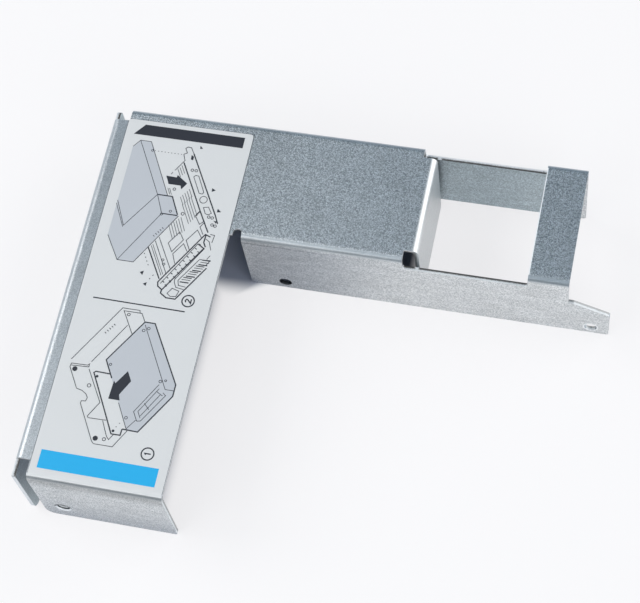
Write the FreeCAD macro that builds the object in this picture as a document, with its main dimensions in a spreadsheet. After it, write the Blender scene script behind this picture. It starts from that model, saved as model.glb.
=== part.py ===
# Drive bay adapter bracket: one punched and folded steel sheet with a printed label.
# Lengths are millimetres. While it is drawn, X = 0 is the outer face of the label arm's side flange,
# Y = 0 the outer face of the end flange, and Z = 0 the plane that the flanges stand on.
# The finished pieces are moved so that the origin is under the middle of the part.
import FreeCAD, Part
import math
import os
import Sketcher

from FreeCAD import Vector

SIZES = [
    # The folded sheet as a whole
    ("bracket_width", 100.8, "end flange to back flange, over both faces"),
    ("bracket_height", 24.0, "flange feet to top of plate"),
    ("sheet_gauge", 1.0, "steel sheet"),
    ("inner_bend", 0.8, "inside radius of every fold"),
    ("drive_arm_width", 32.0, "front flange to back flange, over both faces"),
    # Reliefs at the ends of the side flange
    ("side_flange_gap", 0.3, "side flange ends, back from the bracket's end faces"),
    ("front_notch_length", 4.6, "corner relief beside the end flange, along Y"),
    ("front_notch_width", 3.9, "corner relief beside the end flange, along X"),
    ("back_notch_length", 3.7, "corner relief beside the back flange, along Y"),
    ("back_notch_width", 4.4, "corner relief beside the back flange, along X"),
    ("foot_corner", 2.5, "rounded foot corners beside the reliefs"),
    ("small_corner", 0.6, "every other punched corner"),
    # Relief where the label arm meets the front flange
    ("relief_gap", 0.7, "label arm's raw edge to the relief slot"),
    ("relief_width", 2.2, "relief slot, its round end as wide"),
    ("relief_depth", 2.6, "slot's round end, behind the front flange's outer face"),
    ("arm_corner_depth", 0.85, "label arm's inner corner, behind that face"),
    # Window between the drive arm and the strap
    ("window_length", 30.3, "window along X"),
    ("window_sill", 20.1, "raw edge of both flanges under the window"),
    ("strap_width", 9.8, "strap along X"),
    ("strap_margin", 8.8, "strap's far side, past the back flange's second bay hole"),
    # Wall folded down out of the window
    ("wall_step", 3.5, "outer face of the folded wall, past the window's left side"),
    ("wall_front_gap", 3.2, "wall's front end, behind the front flange's outer face"),
    ("wall_back_gap", 3.0, "wall's back end, before the back flange's outer face"),
    ("wall_foot_corner", 1.5, "rounded foot of the folded wall"),
    # Tongue that carries the front flange past the strap
    ("tongue_height", 14.6, "tongue at the strap"),
    ("tongue_flat", 1.3, "level part of the tongue's top"),
    ("tongue_tip_height", 10.4, "tongue at its tip"),
    ("tongue_length", 10.1, "tip, past the strap"),
    ("tongue_margin", 4.4, "tip, past the small drive's second hole"),
    # Screw holes for the small drive, in the front flange
    ("drive_hole_lead", 9.0, "first hole, past the relief slot"),
    ("drive_hole_pitch", 76.6, "between the two holes"),
    ("drive_hole_height", 3.0, "above the feet"),
    ("drive_hole_bore", 3.2, "clear hole"),
    # Threaded holes for the bay, in the end flange and the back flange
    ("bay_hole_place", 9.1, "first holes from the side flange"),
    ("bay_hole_pitch", 101.6, "between the two holes in the back flange"),
    ("bay_hole_height", 5.5, "above the feet"),
    ("bay_hole_bore", 3.0, "core of the thread"),
    ("bay_collar", 4.9, "drawn collar round the thread"),
    ("bay_collar_height", 1.2, "drawn collar, inward from the flange"),
    ("bay_hole_lead", 0.5, "rounded mouth of the drawn hole"),
    # Finger notch in the back flange
    ("finger_notch_place", 50.6, "middle of the notch from the side flange"),
    ("finger_notch_width", 20.0, "notch at the feet"),
    ("finger_notch_corner", 1.5, "rounded corners at the feet"),
    # Label
    ("label_gauge", 0.15, "paper and adhesive"),
    ("label_start", 4.2, "label's left edge"),
    ("label_edge_gap", 0.1, "label's right edge, before the label arm's raw edge"),
    ("label_back_gap", 3.2, "label's back edge, before the back flange's outer face"),
    ("label_corner", 0.8, "rounded corners"),
    ("label_wrap", 35.0, "degrees that the label follows the end fold"),
    # Ink on the label
    ("ink_gauge", 0.03, "ink"),
    ("line_weight", 0.16, "thin line of a drawing"),
    ("bold_weight", 0.3, "bold line of a drawing"),
]

document = FreeCAD.newDocument("DriveBayBracket")
sheet = document.addObject("Spreadsheet::Sheet", "Sizes")
for row, (alias, value, meaning) in enumerate(SIZES, start=1):
    sheet.set(f"A{row}", meaning)
    sheet.set(f"B{row}", str(value))
    sheet.setAlias(f"B{row}", alias)
document.recompute()

SIZE = {alias: value for alias, value, meaning in SIZES}

# Sizes that follow from others, as expressions
WIDTH = "Sizes.bracket_width"
HEIGHT = "Sizes.bracket_height"
GAUGE = "Sizes.sheet_gauge"
OUTER_BEND = "(Sizes.inner_bend + Sizes.sheet_gauge)"
FOLD = f"({HEIGHT} - {OUTER_BEND})"
UNDERSIDE = f"({HEIGHT} - {GAUGE})"
FRONT = f"({WIDTH} - Sizes.drive_arm_width)"
BAY_HOLES = ["Sizes.bay_hole_place", "(Sizes.bay_hole_place + Sizes.bay_hole_pitch)"]
STRAP_END = f"({BAY_HOLES[1]} + Sizes.strap_margin)"
WINDOW_END = f"({STRAP_END} - Sizes.strap_width)"
WINDOW_START = f"({WINDOW_END} - Sizes.window_length)"
WALL = f"({WINDOW_START} + Sizes.wall_step)"
TIP = f"({STRAP_END} + Sizes.tongue_length)"
LAST_DRIVE_HOLE = f"({TIP} - Sizes.tongue_margin)"
FIRST_DRIVE_HOLE = f"({LAST_DRIVE_HOLE} - Sizes.drive_hole_pitch)"
DRIVE_HOLES = [FIRST_DRIVE_HOLE, LAST_DRIVE_HOLE]
FLANGE_START = f"({FIRST_DRIVE_HOLE} - Sizes.drive_hole_lead)"
RELIEF_START = f"({FLANGE_START} - Sizes.relief_width)"
LABEL_ARM = f"({RELIEF_START} - Sizes.relief_gap)"
LABEL_END = f"({LABEL_ARM} - Sizes.label_edge_gap)"
LABEL_BACK = f"({WIDTH} - Sizes.label_back_gap)"
BACK_RELIEF = f"({WIDTH} - Sizes.back_notch_length)"


def number(expression):
    """The value in millimetres of an expression on the sheet."""
    result = sheet.evalExpression(str(expression))
    return float(getattr(result, "Value", result))


def new_body(name):
    """A body whose placement brings the origin under the middle of the part."""
    body = document.addObject("PartDesign::Body", name)
    body.Label = name
    seat(body)
    return body


def seat(piece):
    """Bind a piece's placement to half the part's length and width."""
    piece.setExpression("Placement.Base.x", f"-{TIP} / 2")
    piece.setExpression("Placement.Base.y", f"-{WIDTH} / 2")


def new_sketch(body, name, role, offset="0"):
    """A sketch on one of the body's own origin planes, moved along that plane's normal."""
    sketch = body.newObject("Sketcher::SketchObject", name)
    planes = [plane for plane in body.Origin.OriginFeatures if plane.Role == role]
    sketch.AttachmentSupport = [(planes[0], "")]
    sketch.MapMode = "FlatFace"
    sketch.setExpression(".AttachmentOffset.Base.z", offset)
    return sketch


def pin(sketch, geometry, end, across, up):
    """Hold one end of a line or arc at two expressions from the sketch's origin."""
    for kind, expression in (("DistanceX", across), ("DistanceY", up)):
        index = sketch.addConstraint(Sketcher.Constraint(kind, -1, 1, geometry, end, number(expression)))
        sketch.setExpression(f"Constraints[{index}]", expression)


def stops_of(corners):
    """Split rounded corners into the two ends of their arcs.

    A corner is (across, up) or (across, up, radius), and a rounded one stands between level and
    upright sides. Each stop is (across, up, radius, centre), where the radius and the centre are
    those of the arc that leaves the stop, or None.
    """
    points = [(number(corner[0]), number(corner[1])) for corner in corners]
    stops = []
    for place, corner in enumerate(corners):
        if len(corner) == 2:
            stops.append((corner[0], corner[1], None, None))
            continue
        across, up, radius = corner
        here = points[place]
        before = points[place - 1]
        after = points[(place + 1) % len(points)]
        signs = [math.copysign(1, before[axis] - here[axis]) * (abs(before[axis] - here[axis]) > 1e-6)
                 for axis in (0, 1)]
        turns = [math.copysign(1, after[axis] - here[axis]) * (abs(after[axis] - here[axis]) > 1e-6)
                 for axis in (0, 1)]
        reach = number(radius)
        centre = (here[0] + (signs[0] + turns[0]) * reach, here[1] + (signs[1] + turns[1]) * reach)
        stops.append((f"{across} + {signs[0]:.0f} * {radius}", f"{up} + {signs[1]:.0f} * {radius}",
                      radius, centre))
        stops.append((f"{across} + {turns[0]:.0f} * {radius}", f"{up} + {turns[1]:.0f} * {radius}",
                      None, None))
    return stops


def outline(sketch, corners):
    """Draw a closed outline through corners, each held by expressions on the sheet."""
    stops = stops_of(corners)
    ends = []
    for place, (across, up, radius, centre) in enumerate(stops):
        following = stops[(place + 1) % len(stops)]
        start = Vector(number(across), number(up), 0)
        finish = Vector(number(following[0]), number(following[1]), 0)
        if radius is None:
            geometry = sketch.addGeometry(Part.LineSegment(start, finish), False)
            ends.append((geometry, 1, 2))
            continue
        middle = Vector(centre[0], centre[1], 0)
        first = math.atan2(start.y - middle.y, start.x - middle.x)
        last = math.atan2(finish.y - middle.y, finish.x - middle.x)
        anticlockwise = (last - first) % (2 * math.pi) < math.pi
        circle = Part.Circle(middle, Vector(0, 0, 1), number(radius))
        angles = (first, last) if anticlockwise else (last, first)
        geometry = sketch.addGeometry(Part.ArcOfCircle(circle, *angles), False)
        ends.append((geometry, 1, 2) if anticlockwise else (geometry, 2, 1))
        index = sketch.addConstraint(Sketcher.Constraint("Radius", geometry, number(radius)))
        sketch.setExpression(f"Constraints[{index}]", radius)
    for place, (across, up, radius, centre) in enumerate(stops):
        geometry, start, finish = ends[place]
        pin(sketch, geometry, start, across, up)
        earlier, departure, arrival = ends[place - 1]
        sketch.addConstraint(Sketcher.Constraint("Coincident", earlier, arrival, geometry, start))


def circle(sketch, across, up, diameter):
    """Draw a full circle held by expressions."""
    middle = Vector(number(across), number(up), 0)
    geometry = sketch.addGeometry(Part.Circle(middle, Vector(0, 0, 1), number(diameter) / 2), False)
    index = sketch.addConstraint(Sketcher.Constraint("Radius", geometry, number(diameter) / 2))
    sketch.setExpression(f"Constraints[{index}]", f"{diameter} / 2")
    pin(sketch, geometry, 3, across, up)


def pad(body, sketch, length, reversed_way=False):
    """Add a sketch's area to the body along its normal."""
    feature = body.newObject("PartDesign::Pad", sketch.Name + "_pad")
    feature.Profile = sketch
    feature.Reversed = reversed_way
    feature.setExpression("Length", length)
    document.recompute()
    return feature


def pocket(body, sketch, length, reversed_way=False):
    """Cut a sketch's area out of the body, and make sure that it cut something."""
    before = body.Shape.Volume
    feature = body.newObject("PartDesign::Pocket", sketch.Name + "_pocket")
    feature.Profile = sketch
    feature.Reversed = reversed_way
    feature.setExpression("Length", length)
    document.recompute()
    if body.Shape.Volume >= before - 1e-6:
        raise RuntimeError(f"{sketch.Name} cut nothing")
    return feature


def round_edges(body, name, radius, chosen):
    """Round the edges whose middle point and direction satisfy the test chosen(middle, edge)."""
    tip = body.Tip
    names = []
    for place, edge in enumerate(tip.Shape.Edges, start=1):
        middle = edge.valueAt((edge.FirstParameter + edge.LastParameter) / 2)
        if chosen(middle, edge):
            names.append(f"Edge{place}")
    if not names:
        raise RuntimeError(f"{name} found no edge")
    feature = body.newObject("PartDesign::Fillet", name)
    feature.Base = (tip, names)
    feature.setExpression("Radius", radius)
    document.recompute()
    return feature


def near(first, second):
    """Whether two lengths agree to a hundredth of a millimetre."""
    return abs(first - second) < 0.01


# An upright profile across Y is drawn on the YZ plane, whose normal is +X.
# One across X is drawn on the XZ plane, whose normal is -Y, so its offsets change sign.

def fold_profile(outer, way):
    """An L profile: a flange whose outer face stands at outer, folded into the plate towards way."""
    inner = f"({outer} + {way} * {GAUGE})"
    overlap = f"({outer} + {way} * 2 * {OUTER_BEND})"
    return [
        (inner, "0"),
        (outer, "0"),
        (outer, HEIGHT, OUTER_BEND),
        (overlap, HEIGHT),
        (overlap, UNDERSIDE),
        (inner, UNDERSIDE, "Sizes.inner_bend"),
    ]


def short_fold_profile(outer, way):
    """The same fold without its flange, for a bend narrower than the flange under it."""
    profile = fold_profile(outer, way)
    return [(profile[0][0], FOLD + " - 1")] + [(profile[1][0], FOLD + " - 1")] + profile[2:]


def make_bracket():
    """The folded sheet."""
    body = new_body("bracket")

    # Drive arm and strap: one channel, open downwards, from the relief slot to the strap's far side
    channel = new_sketch(body, "channel", "YZ_Plane", FLANGE_START)
    front_inner = f"({FRONT} + {GAUGE})"
    back_inner = f"({WIDTH} - {GAUGE})"
    outline(channel, [
        (FRONT, "0"),
        (FRONT, HEIGHT, OUTER_BEND),
        (WIDTH, HEIGHT, OUTER_BEND),
        (WIDTH, "0"),
        (back_inner, "0"),
        (back_inner, UNDERSIDE, "Sizes.inner_bend"),
        (front_inner, UNDERSIDE, "Sizes.inner_bend"),
        (front_inner, "0"),
    ])
    pad(body, channel, f"{STRAP_END} - {FLANGE_START}")

    # Window punched through the plate and both folds, down to the sills of the two flanges
    window = new_sketch(body, "window", "XZ_Plane", "1")
    outline(window, [
        (WINDOW_START, "Sizes.window_sill", "Sizes.small_corner"),
        (WINDOW_END, "Sizes.window_sill", "Sizes.small_corner"),
        (WINDOW_END, HEIGHT + " + 1"),
        (WINDOW_START, HEIGHT + " + 1"),
    ])
    pocket(body, window, f"{WIDTH} + 2")

    # Wall folded down from the left side of the window
    wall = new_sketch(body, "folded_wall", "XZ_Plane", f"-({FRONT} + Sizes.wall_front_gap)")
    outline(wall, fold_profile(WALL, -1))
    pad(body, wall, f"Sizes.drive_arm_width - Sizes.wall_front_gap - Sizes.wall_back_gap", True)

    # Tongue: the front flange goes on past the strap, lower, with a sloping top
    tongue = new_sketch(body, "tongue", "XZ_Plane", "-" + FRONT)
    outline(tongue, [
        (f"{STRAP_END} - Sizes.strap_width / 2", "0"),
        (TIP, "0"),
        (TIP, "Sizes.tongue_tip_height"),
        (f"{STRAP_END} + Sizes.tongue_flat", "Sizes.tongue_height"),
        (f"{STRAP_END} - Sizes.strap_width / 2", "Sizes.tongue_height"),
    ])
    pad(body, tongue, GAUGE, True)

    # Plate of the label arm, up to the tangent lines of its folds
    arm_corner = f"({FRONT} + Sizes.arm_corner_depth)"
    plate = new_sketch(body, "label_arm_plate", "XY_Plane", UNDERSIDE)
    outline(plate, [
        (OUTER_BEND, "Sizes.front_notch_length"),
        ("Sizes.front_notch_width", "Sizes.front_notch_length"),
        ("Sizes.front_notch_width", OUTER_BEND),
        (LABEL_ARM, OUTER_BEND),
        (LABEL_ARM, arm_corner),
        (FLANGE_START, arm_corner),
        (FLANGE_START, f"{WIDTH} - {OUTER_BEND}"),
        ("Sizes.back_notch_width", f"{WIDTH} - {OUTER_BEND}"),
        ("Sizes.back_notch_width", BACK_RELIEF),
        (OUTER_BEND, BACK_RELIEF),
    ])
    pad(body, plate, GAUGE)

    # Back flange of the label arm
    back = new_sketch(body, "back_flange", "YZ_Plane", "Sizes.back_notch_width")
    outline(back, fold_profile(WIDTH, -1))
    pad(body, back, f"{FLANGE_START} + {OUTER_BEND} - Sizes.back_notch_width")

    # End flange
    end = new_sketch(body, "end_flange", "YZ_Plane", "Sizes.front_notch_width")
    outline(end, fold_profile("0", 1))
    pad(body, end, f"{LABEL_ARM} - Sizes.front_notch_width")

    # Side flange: its fold ends at the corner reliefs, its face goes on behind them
    fold = new_sketch(body, "side_fold", "XZ_Plane", "-Sizes.front_notch_length")
    outline(fold, short_fold_profile("0", 1))
    pad(body, fold, f"{BACK_RELIEF} - Sizes.front_notch_length", True)
    side = new_sketch(body, "side_flange", "YZ_Plane", "0")
    outline(side, [
        ("Sizes.side_flange_gap", "0", "Sizes.foot_corner"),
        (f"({WIDTH} - Sizes.side_flange_gap)", "0", "Sizes.foot_corner"),
        (f"({WIDTH} - Sizes.side_flange_gap)", FOLD, "Sizes.small_corner * 2"),
        ("Sizes.side_flange_gap", FOLD, "Sizes.small_corner"),
    ])
    pad(body, side, GAUGE)

    # Relief slot between the label arm and the front flange, with a round end
    slot = new_sketch(body, "relief_slot", "XY_Plane", HEIGHT + " + 1")
    slot_end = f"({FRONT} + Sizes.relief_depth)"
    outline(slot, [
        (RELIEF_START, f"{FRONT} - 1"),
        (FLANGE_START, f"{FRONT} - 1"),
        (FLANGE_START, slot_end, "Sizes.relief_width * 0.499"),
        (RELIEF_START, slot_end, "Sizes.relief_width * 0.499"),
    ])
    pocket(body, slot, f"{HEIGHT} + 2")

    # Finger notch: half a circle out of the back flange's foot
    notch = new_sketch(body, "finger_notch", "XZ_Plane", f"-({WIDTH} + 1)")
    circle(notch, "Sizes.finger_notch_place", "0", "Sizes.finger_notch_width")
    pocket(body, notch, f"{GAUGE} + 2", True)

    # Drawn collars and threaded holes for the bay
    back_collars = new_sketch(body, "back_collars", "XZ_Plane", f"-({WIDTH} - {GAUGE})")
    for place in BAY_HOLES:
        circle(back_collars, place, "Sizes.bay_hole_height", "Sizes.bay_collar")
    pad(body, back_collars, "Sizes.bay_collar_height")
    back_holes = new_sketch(body, "back_holes", "XZ_Plane", f"-({WIDTH} + 1)")
    for place in BAY_HOLES:
        circle(back_holes, place, "Sizes.bay_hole_height", "Sizes.bay_hole_bore")
    pocket(body, back_holes, f"{GAUGE} + Sizes.bay_collar_height + 2", True)
    end_collar = new_sketch(body, "end_collar", "XZ_Plane", "-" + GAUGE)
    circle(end_collar, BAY_HOLES[0], "Sizes.bay_hole_height", "Sizes.bay_collar")
    pad(body, end_collar, "Sizes.bay_collar_height", True)
    end_hole = new_sketch(body, "end_hole", "XZ_Plane", "1")
    circle(end_hole, BAY_HOLES[0], "Sizes.bay_hole_height", "Sizes.bay_hole_bore")
    pocket(body, end_hole, f"{GAUGE} + Sizes.bay_collar_height + 2")

    # Clear holes for the small drive
    drive_holes = new_sketch(body, "drive_holes", "XZ_Plane", f"-({FRONT} - 1)")
    for place in DRIVE_HOLES:
        circle(drive_holes, place, "Sizes.drive_hole_height", "Sizes.drive_hole_bore")
    pocket(body, drive_holes, f"{GAUGE} + 2")

    # Rounded mouths of the drawn holes
    core = SIZE["bay_hole_bore"] / 2
    width = SIZE["bracket_width"]

    def hole_mouth(middle, edge):
        """A thread's circle on an outer face."""
        curve = edge.Curve
        if not isinstance(curve, Part.Circle) or not near(curve.Radius, core):
            return False
        return near(curve.Center.y, 0) or near(curve.Center.y, width)

    round_edges(body, "hole_mouths", "Sizes.bay_hole_lead", hole_mouth)

    # Punched corners, found by where they stand and by their direction through the sheet
    gauge = SIZE["sheet_gauge"]
    notch_half = SIZE["finger_notch_width"] / 2
    notch_ends = [SIZE["finger_notch_place"] - notch_half, SIZE["finger_notch_place"] + notch_half]

    def notch_foot(middle, edge):
        """The two corners where the finger notch opens at the feet."""
        return (near(edge.Length, gauge) and near(middle.y, width - gauge / 2) and near(middle.z, 0)
                and any(near(middle.x, place) for place in notch_ends))

    round_edges(body, "notch_feet", "Sizes.finger_notch_corner", notch_foot)

    def end_foot(middle, edge):
        """End flange's foot corner beside the relief."""
        return (near(edge.Length, gauge) and near(middle.y, gauge / 2) and near(middle.z, 0)
                and near(middle.x, SIZE["front_notch_width"]))

    round_edges(body, "end_foot", "Sizes.foot_corner", end_foot)

    front = number(FRONT)
    wall_x = number(WALL) - gauge / 2
    wall_ends = [front + SIZE["wall_front_gap"], width - SIZE["wall_back_gap"]]

    def wall_foot(middle, edge):
        """Both foot corners of the folded wall."""
        return (near(edge.Length, gauge) and near(middle.x, wall_x) and near(middle.z, 0)
                and any(near(middle.y, place) for place in wall_ends))

    round_edges(body, "wall_feet", "Sizes.wall_foot_corner", wall_foot)

    tip = number(TIP)
    small_feet = [
        (number(LABEL_ARM), gauge / 2, 0),
        (number(FLANGE_START), front + gauge / 2, 0),
        (tip, front + gauge / 2, 0),
        (tip, front + gauge / 2, SIZE["tongue_tip_height"]),
        (SIZE["back_notch_width"], width - gauge / 2, 0),
        (number(STRAP_END), width - gauge / 2, 0),
    ]

    def small_foot(middle, edge):
        """The remaining foot corners, and the tongue's tip."""
        if not near(edge.Length, gauge):
            return False
        return any(all(near(*pair) for pair in zip(middle, point)) for point in small_feet)

    round_edges(body, "small_feet", "Sizes.small_corner", small_foot)

    def plate_corner(middle, edge):
        """Upright corners of the plate at the relief slot's mouth and the label arm's inner corner."""
        corner_y = front + SIZE["arm_corner_depth"]
        return (near(edge.Length, gauge) and near(middle.y, corner_y)
                and near(middle.x, number(RELIEF_START)))

    round_edges(body, "slot_mouth", "Sizes.small_corner / 2", plate_corner)
    return body


def make_label():
    """The paper label: flat on the plate, its front end carried round the end fold."""
    body = new_body("label")
    flat = new_sketch(body, "label_flat", "XY_Plane", HEIGHT)
    outline(flat, [
        ("Sizes.label_start", OUTER_BEND),
        (LABEL_END, OUTER_BEND),
        (LABEL_END, LABEL_BACK, "Sizes.label_corner"),
        ("Sizes.label_start", LABEL_BACK, "Sizes.label_corner"),
    ])
    pad(body, flat, "Sizes.label_gauge")

    # Wrapped end: a short arc of the label's thickness on the fold
    wrap = new_sketch(body, "label_wrap", "YZ_Plane", "Sizes.label_start")
    bend = number(OUTER_BEND)
    gauge = SIZE["label_gauge"]
    turn = math.radians(90 + SIZE["label_wrap"])
    centre = Vector(bend, SIZE["bracket_height"] - bend, 0)
    arcs = []
    for radius, size in ((bend, OUTER_BEND), (bend + gauge, f"{OUTER_BEND} + Sizes.label_gauge")):
        round_line = Part.Circle(centre, Vector(0, 0, 1), radius)
        arc = wrap.addGeometry(Part.ArcOfCircle(round_line, math.pi / 2, turn), False)
        index = wrap.addConstraint(Sketcher.Constraint("Radius", arc, radius))
        wrap.setExpression(f"Constraints[{index}]", size)
        pin(wrap, arc, 3, OUTER_BEND, FOLD)
        arcs.append(arc)
    inside, outside = arcs

    def end_point(radius, angle):
        return centre + Vector(radius * math.cos(angle), radius * math.sin(angle), 0)

    for angle, end in ((math.pi / 2, 1), (turn, 2)):
        line = wrap.addGeometry(Part.LineSegment(end_point(bend, angle), end_point(bend + gauge, angle)),
                                False)
        wrap.addConstraint(Sketcher.Constraint("Coincident", line, 1, inside, end))
        wrap.addConstraint(Sketcher.Constraint("Coincident", line, 2, outside, end))
        across = f"{OUTER_BEND} - {OUTER_BEND} * sin(Sizes.label_wrap * 1 deg)"
        if end == 1:
            wrap.addConstraint(Sketcher.Constraint("Vertical", line))
            index = wrap.addConstraint(Sketcher.Constraint("DistanceX", -1, 1, inside, 1, bend))
            wrap.setExpression(f"Constraints[{index}]", OUTER_BEND)
            continue
        index = wrap.addConstraint(Sketcher.Constraint("DistanceX", -1, 1, inside, 2, number(across)))
        wrap.setExpression(f"Constraints[{index}]", across)
        wrap.addConstraint(Sketcher.Constraint("Perpendicular", line, inside))
    pad(body, wrap, f"{LABEL_END} - Sizes.label_start")
    return body


# Print on the label. Places are (across, along) from the label's left edge and the end flange's face, on a
# label of the art's own size. Each drawing is a few straight strokes, rings and filled marks.
ART_WIDTH = 32.4
ART_LENGTH = 97.6

TITLE_BAND = [(2.2, 93.4), (30.4, 93.4), (30.4, 96.4), (4.6, 96.4)]
FOOT_BAND = [(1.8, 2.8), (30.3, 2.8), (30.3, 7.4), (1.8, 7.4)]
DIVIDER = [(3.7, 47.5), (26.7, 47.3)]

# Step badges: a ring, and a number turned a quarter to the left
BADGE_RADIUS = 1.5
BADGES = {
    (26.85, 50.2): [(-0.5, -0.4), (-0.7, 0.0), (-0.5, 0.4), (-0.2, 0.4), (0.7, -0.5), (0.7, 0.6)],
    (26.75, 10.5): [(-0.4, -0.25), (-0.65, 0.05), (0.75, 0.05)],
}

# Step one: the small drive slides against the bracket's flange
STEP_ONE_TINT = [(17.9, 43.1), (20.5, 43.1), (29.1, 28.5), (29.1, 25.5), (23.1, 15.4), (20.3, 15.5), (11.1, 32.0)]
STEP_ONE_ARROW = [(17.0, 30.0), (18.4, 27.6), (16.4, 23.8), (16.9, 22.4), (14.1, 22.4), (14.3, 27.1), (14.8, 26.5)]
STEP_ONE_THIN = [
    [(2.7, 30.8), (11.6, 45.9), (15.9, 45.9), (16.1, 45.3)],
    [(15.5, 39.6), (12.1, 45.2), (16.6, 45.2), (17.8, 43.2)],
    [(7.7, 30.9), (13.9, 41.6)],
    [(3.0, 29.8), (7.0, 29.9), (7.4, 30.3), (7.4, 29.5), (3.1, 29.3)],
    [(3.0, 29.8), (2.9, 28.8), (5.9, 23.7), (7.3, 23.4), (8.5, 22.7), (9.1, 21.8), (8.9, 20.9), (7.9, 20.8),
     (7.8, 20.2), (12.9, 11.4), (13.5, 10.8), (18.1, 10.8), (20.6, 15.3)],
    [(7.6, 29.0), (12.4, 21.1), (10.3, 17.3), (10.6, 16.9), (15.0, 17.0)],
    [(14.2, 16.8), (16.1, 13.1), (16.8, 12.4), (17.6, 13.8)],
    [(18.1, 42.4), (26.9, 26.9), (29.0, 26.9)],
    [(16.8, 21.8), (20.2, 15.7), (21.9, 18.2)],
    [(25.2, 27.9), (20.9, 20.2), (22.2, 18.0), (23.1, 18.2), (27.4, 25.4), (26.6, 26.0)],
    [(25.5, 26.9), (21.9, 20.4), (22.8, 18.9)],
    [(26.1, 25.4), (22.7, 19.4)],
    [(25.0, 26.1), (26.7, 25.2)],
    [(22.9, 22.7), (24.3, 21.3)],
]
STEP_ONE_BOLD = [
    [(13.6, 27.6), (11.1, 32.0), (17.9, 43.1), (20.4, 43.1), (29.1, 28.5), (29.1, 25.5), (23.1, 15.4),
     (19.3, 15.5)],
    [(19.3, 15.5), (19.2, 13.9), (17.0, 13.9), (9.0, 28.3), (9.4, 28.7), (12.9, 28.6)],
]
STEP_ONE_RINGS = [
    (13.5, 44.4, 0.35), (18.1, 40.9, 0.35), (19.2, 41.6, 0.35), (12.4, 31.0, 0.3), (25.3, 28.7, 0.35),
    (26.5, 29.1, 0.25), (19.5, 18.4, 0.35), (8.7, 24.9, 0.45), (15.7, 12.3, 0.4),
]
STEP_ONE_SCREWS = [(4.2, 28.5, 0.65), (13.6, 12.2, 0.65), (10.0, 27.5, 0.35), (17.3, 14.7, 0.35)]

# Step two: the bracket with its drive goes down on a tray
STEP_TWO_TINT = [
    (2.9, 89.8), (4.4, 91.8), (7.2, 91.8), (14.9, 77.5), (16.2, 77.4), (18.9, 72.4), (11.0, 58.3),
    (6.9, 58.3), (2.9, 64.6),
]
STEP_TWO_ARROW = [(13.3, 82.9), (16.0, 82.8), (16.1, 83.5), (19.0, 81.5), (17.9, 79.7), (17.5, 80.7), (14.4, 80.7)]
STEP_TWO_THIN = [
    [(2.9, 89.8), (4.4, 91.8), (7.2, 91.8), (14.9, 77.6)],
    [(4.4, 91.8), (12.4, 77.4)],
    [(14.7, 72.4), (12.4, 77.4), (6.1, 67.7), (2.9, 74.3)],
    [(6.0, 67.3), (2.8, 73.5)],
    [(14.7, 72.4), (6.9, 58.3), (11.0, 58.3), (19.0, 72.3)],
    [(6.9, 58.3), (2.9, 64.6)],
    [(15.1, 84.7), (16.9, 87.8), (16.2, 89.5), (17.0, 90.0), (16.3, 91.2), (16.8, 91.7), (17.7, 91.6), (18.7, 90.0)],
    [(14.4, 83.5), (14.7, 84.1)],
    [(23.9, 63.6), (22.5, 66.1), (24.6, 69.3), (26.0, 67.4)],
    [(21.2, 59.5), (20.1, 62.0), (22.1, 65.1), (23.4, 63.2)],
    [(23.2, 73.0), (24.7, 70.9), (25.7, 72.0)],
    [(26.2, 68.3), (25.0, 70.2), (25.8, 71.6), (27.3, 69.0)],
    [(15.0, 64.8), (19.7, 56.6)],
    [(15.7, 65.9), (20.4, 58.0)],
    [(25.6, 65.6), (19.0, 53.7)],
    [(27.5, 64.6), (22.2, 55.3), (22.3, 54.6), (23.0, 53.3), (25.0, 53.0)],
    [(26.9, 61.4), (23.1, 55.2), (23.5, 53.9), (25.3, 53.7)],
    [(26.9, 61.5), (29.6, 61.6), (28.9, 60.2)],
    [(28.7, 61.8), (29.3, 62.9)],
    [(27.2, 67.2), (28.2, 66.6), (29.1, 64.4)],
    [(28.0, 68.6), (29.1, 68.5), (28.9, 66.4)],
]
STEP_TWO_BOLD = [
    [(12.4, 77.4), (16.2, 77.4), (18.7, 72.6)],
    [(14.8, 72.4), (18.7, 72.4)],
    [(13.7, 62.8), (18.4, 54.9)],
    [(19.8, 52.1), (18.6, 52.9), (18.3, 54.0), (26.8, 68.4), (28.2, 67.9)],
    [(25.6, 65.6), (27.3, 64.6), (19.7, 52.0), (19.7, 51.2), (21.3, 50.2), (23.6, 50.2), (29.2, 59.5)],
    [(18.7, 90.0), (28.0, 73.9), (29.1, 71.7)],
    [(16.8, 87.2), (24.0, 74.5), (23.2, 73.0)],
    [(24.0, 74.5), (27.3, 69.0)],
    [(27.0, 68.2), (26.9, 66.2), (27.6, 65.0)],
]
STEP_TWO_LOOPS = [
    [(20.2, 83.6), (20.6, 84.1), (21.4, 84.0), (23.7, 79.7), (23.4, 79.2), (22.6, 79.3)],
    [(24.6, 75.6), (25.8, 75.9), (26.9, 74.3), (26.2, 73.8), (25.4, 74.0)],
    [(18.3, 64.7), (20.4, 68.1), (21.8, 66.1), (19.7, 62.5)],
    [(21.3, 51.4), (22.2, 52.9), (24.0, 52.4), (23.6, 50.9), (22.2, 50.7)],
]
STEP_TWO_RINGS = [
    (8.1, 89.4, 0.28), (16.7, 73.3, 0.3), (14.7, 72.2, 0.3), (16.2, 79.5, 0.35), (19.9, 73.1, 0.4),
    (24.1, 77.7, 0.95), (19.4, 85.4, 0.35), (20.4, 85.4, 0.35), (26.5, 73.2, 0.35), (27.4, 73.1, 0.35),
    (27.8, 71.2, 0.35), (28.6, 71.0, 0.35), (18.1, 60.0, 0.3), (18.6, 58.9, 0.3),
]
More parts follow.
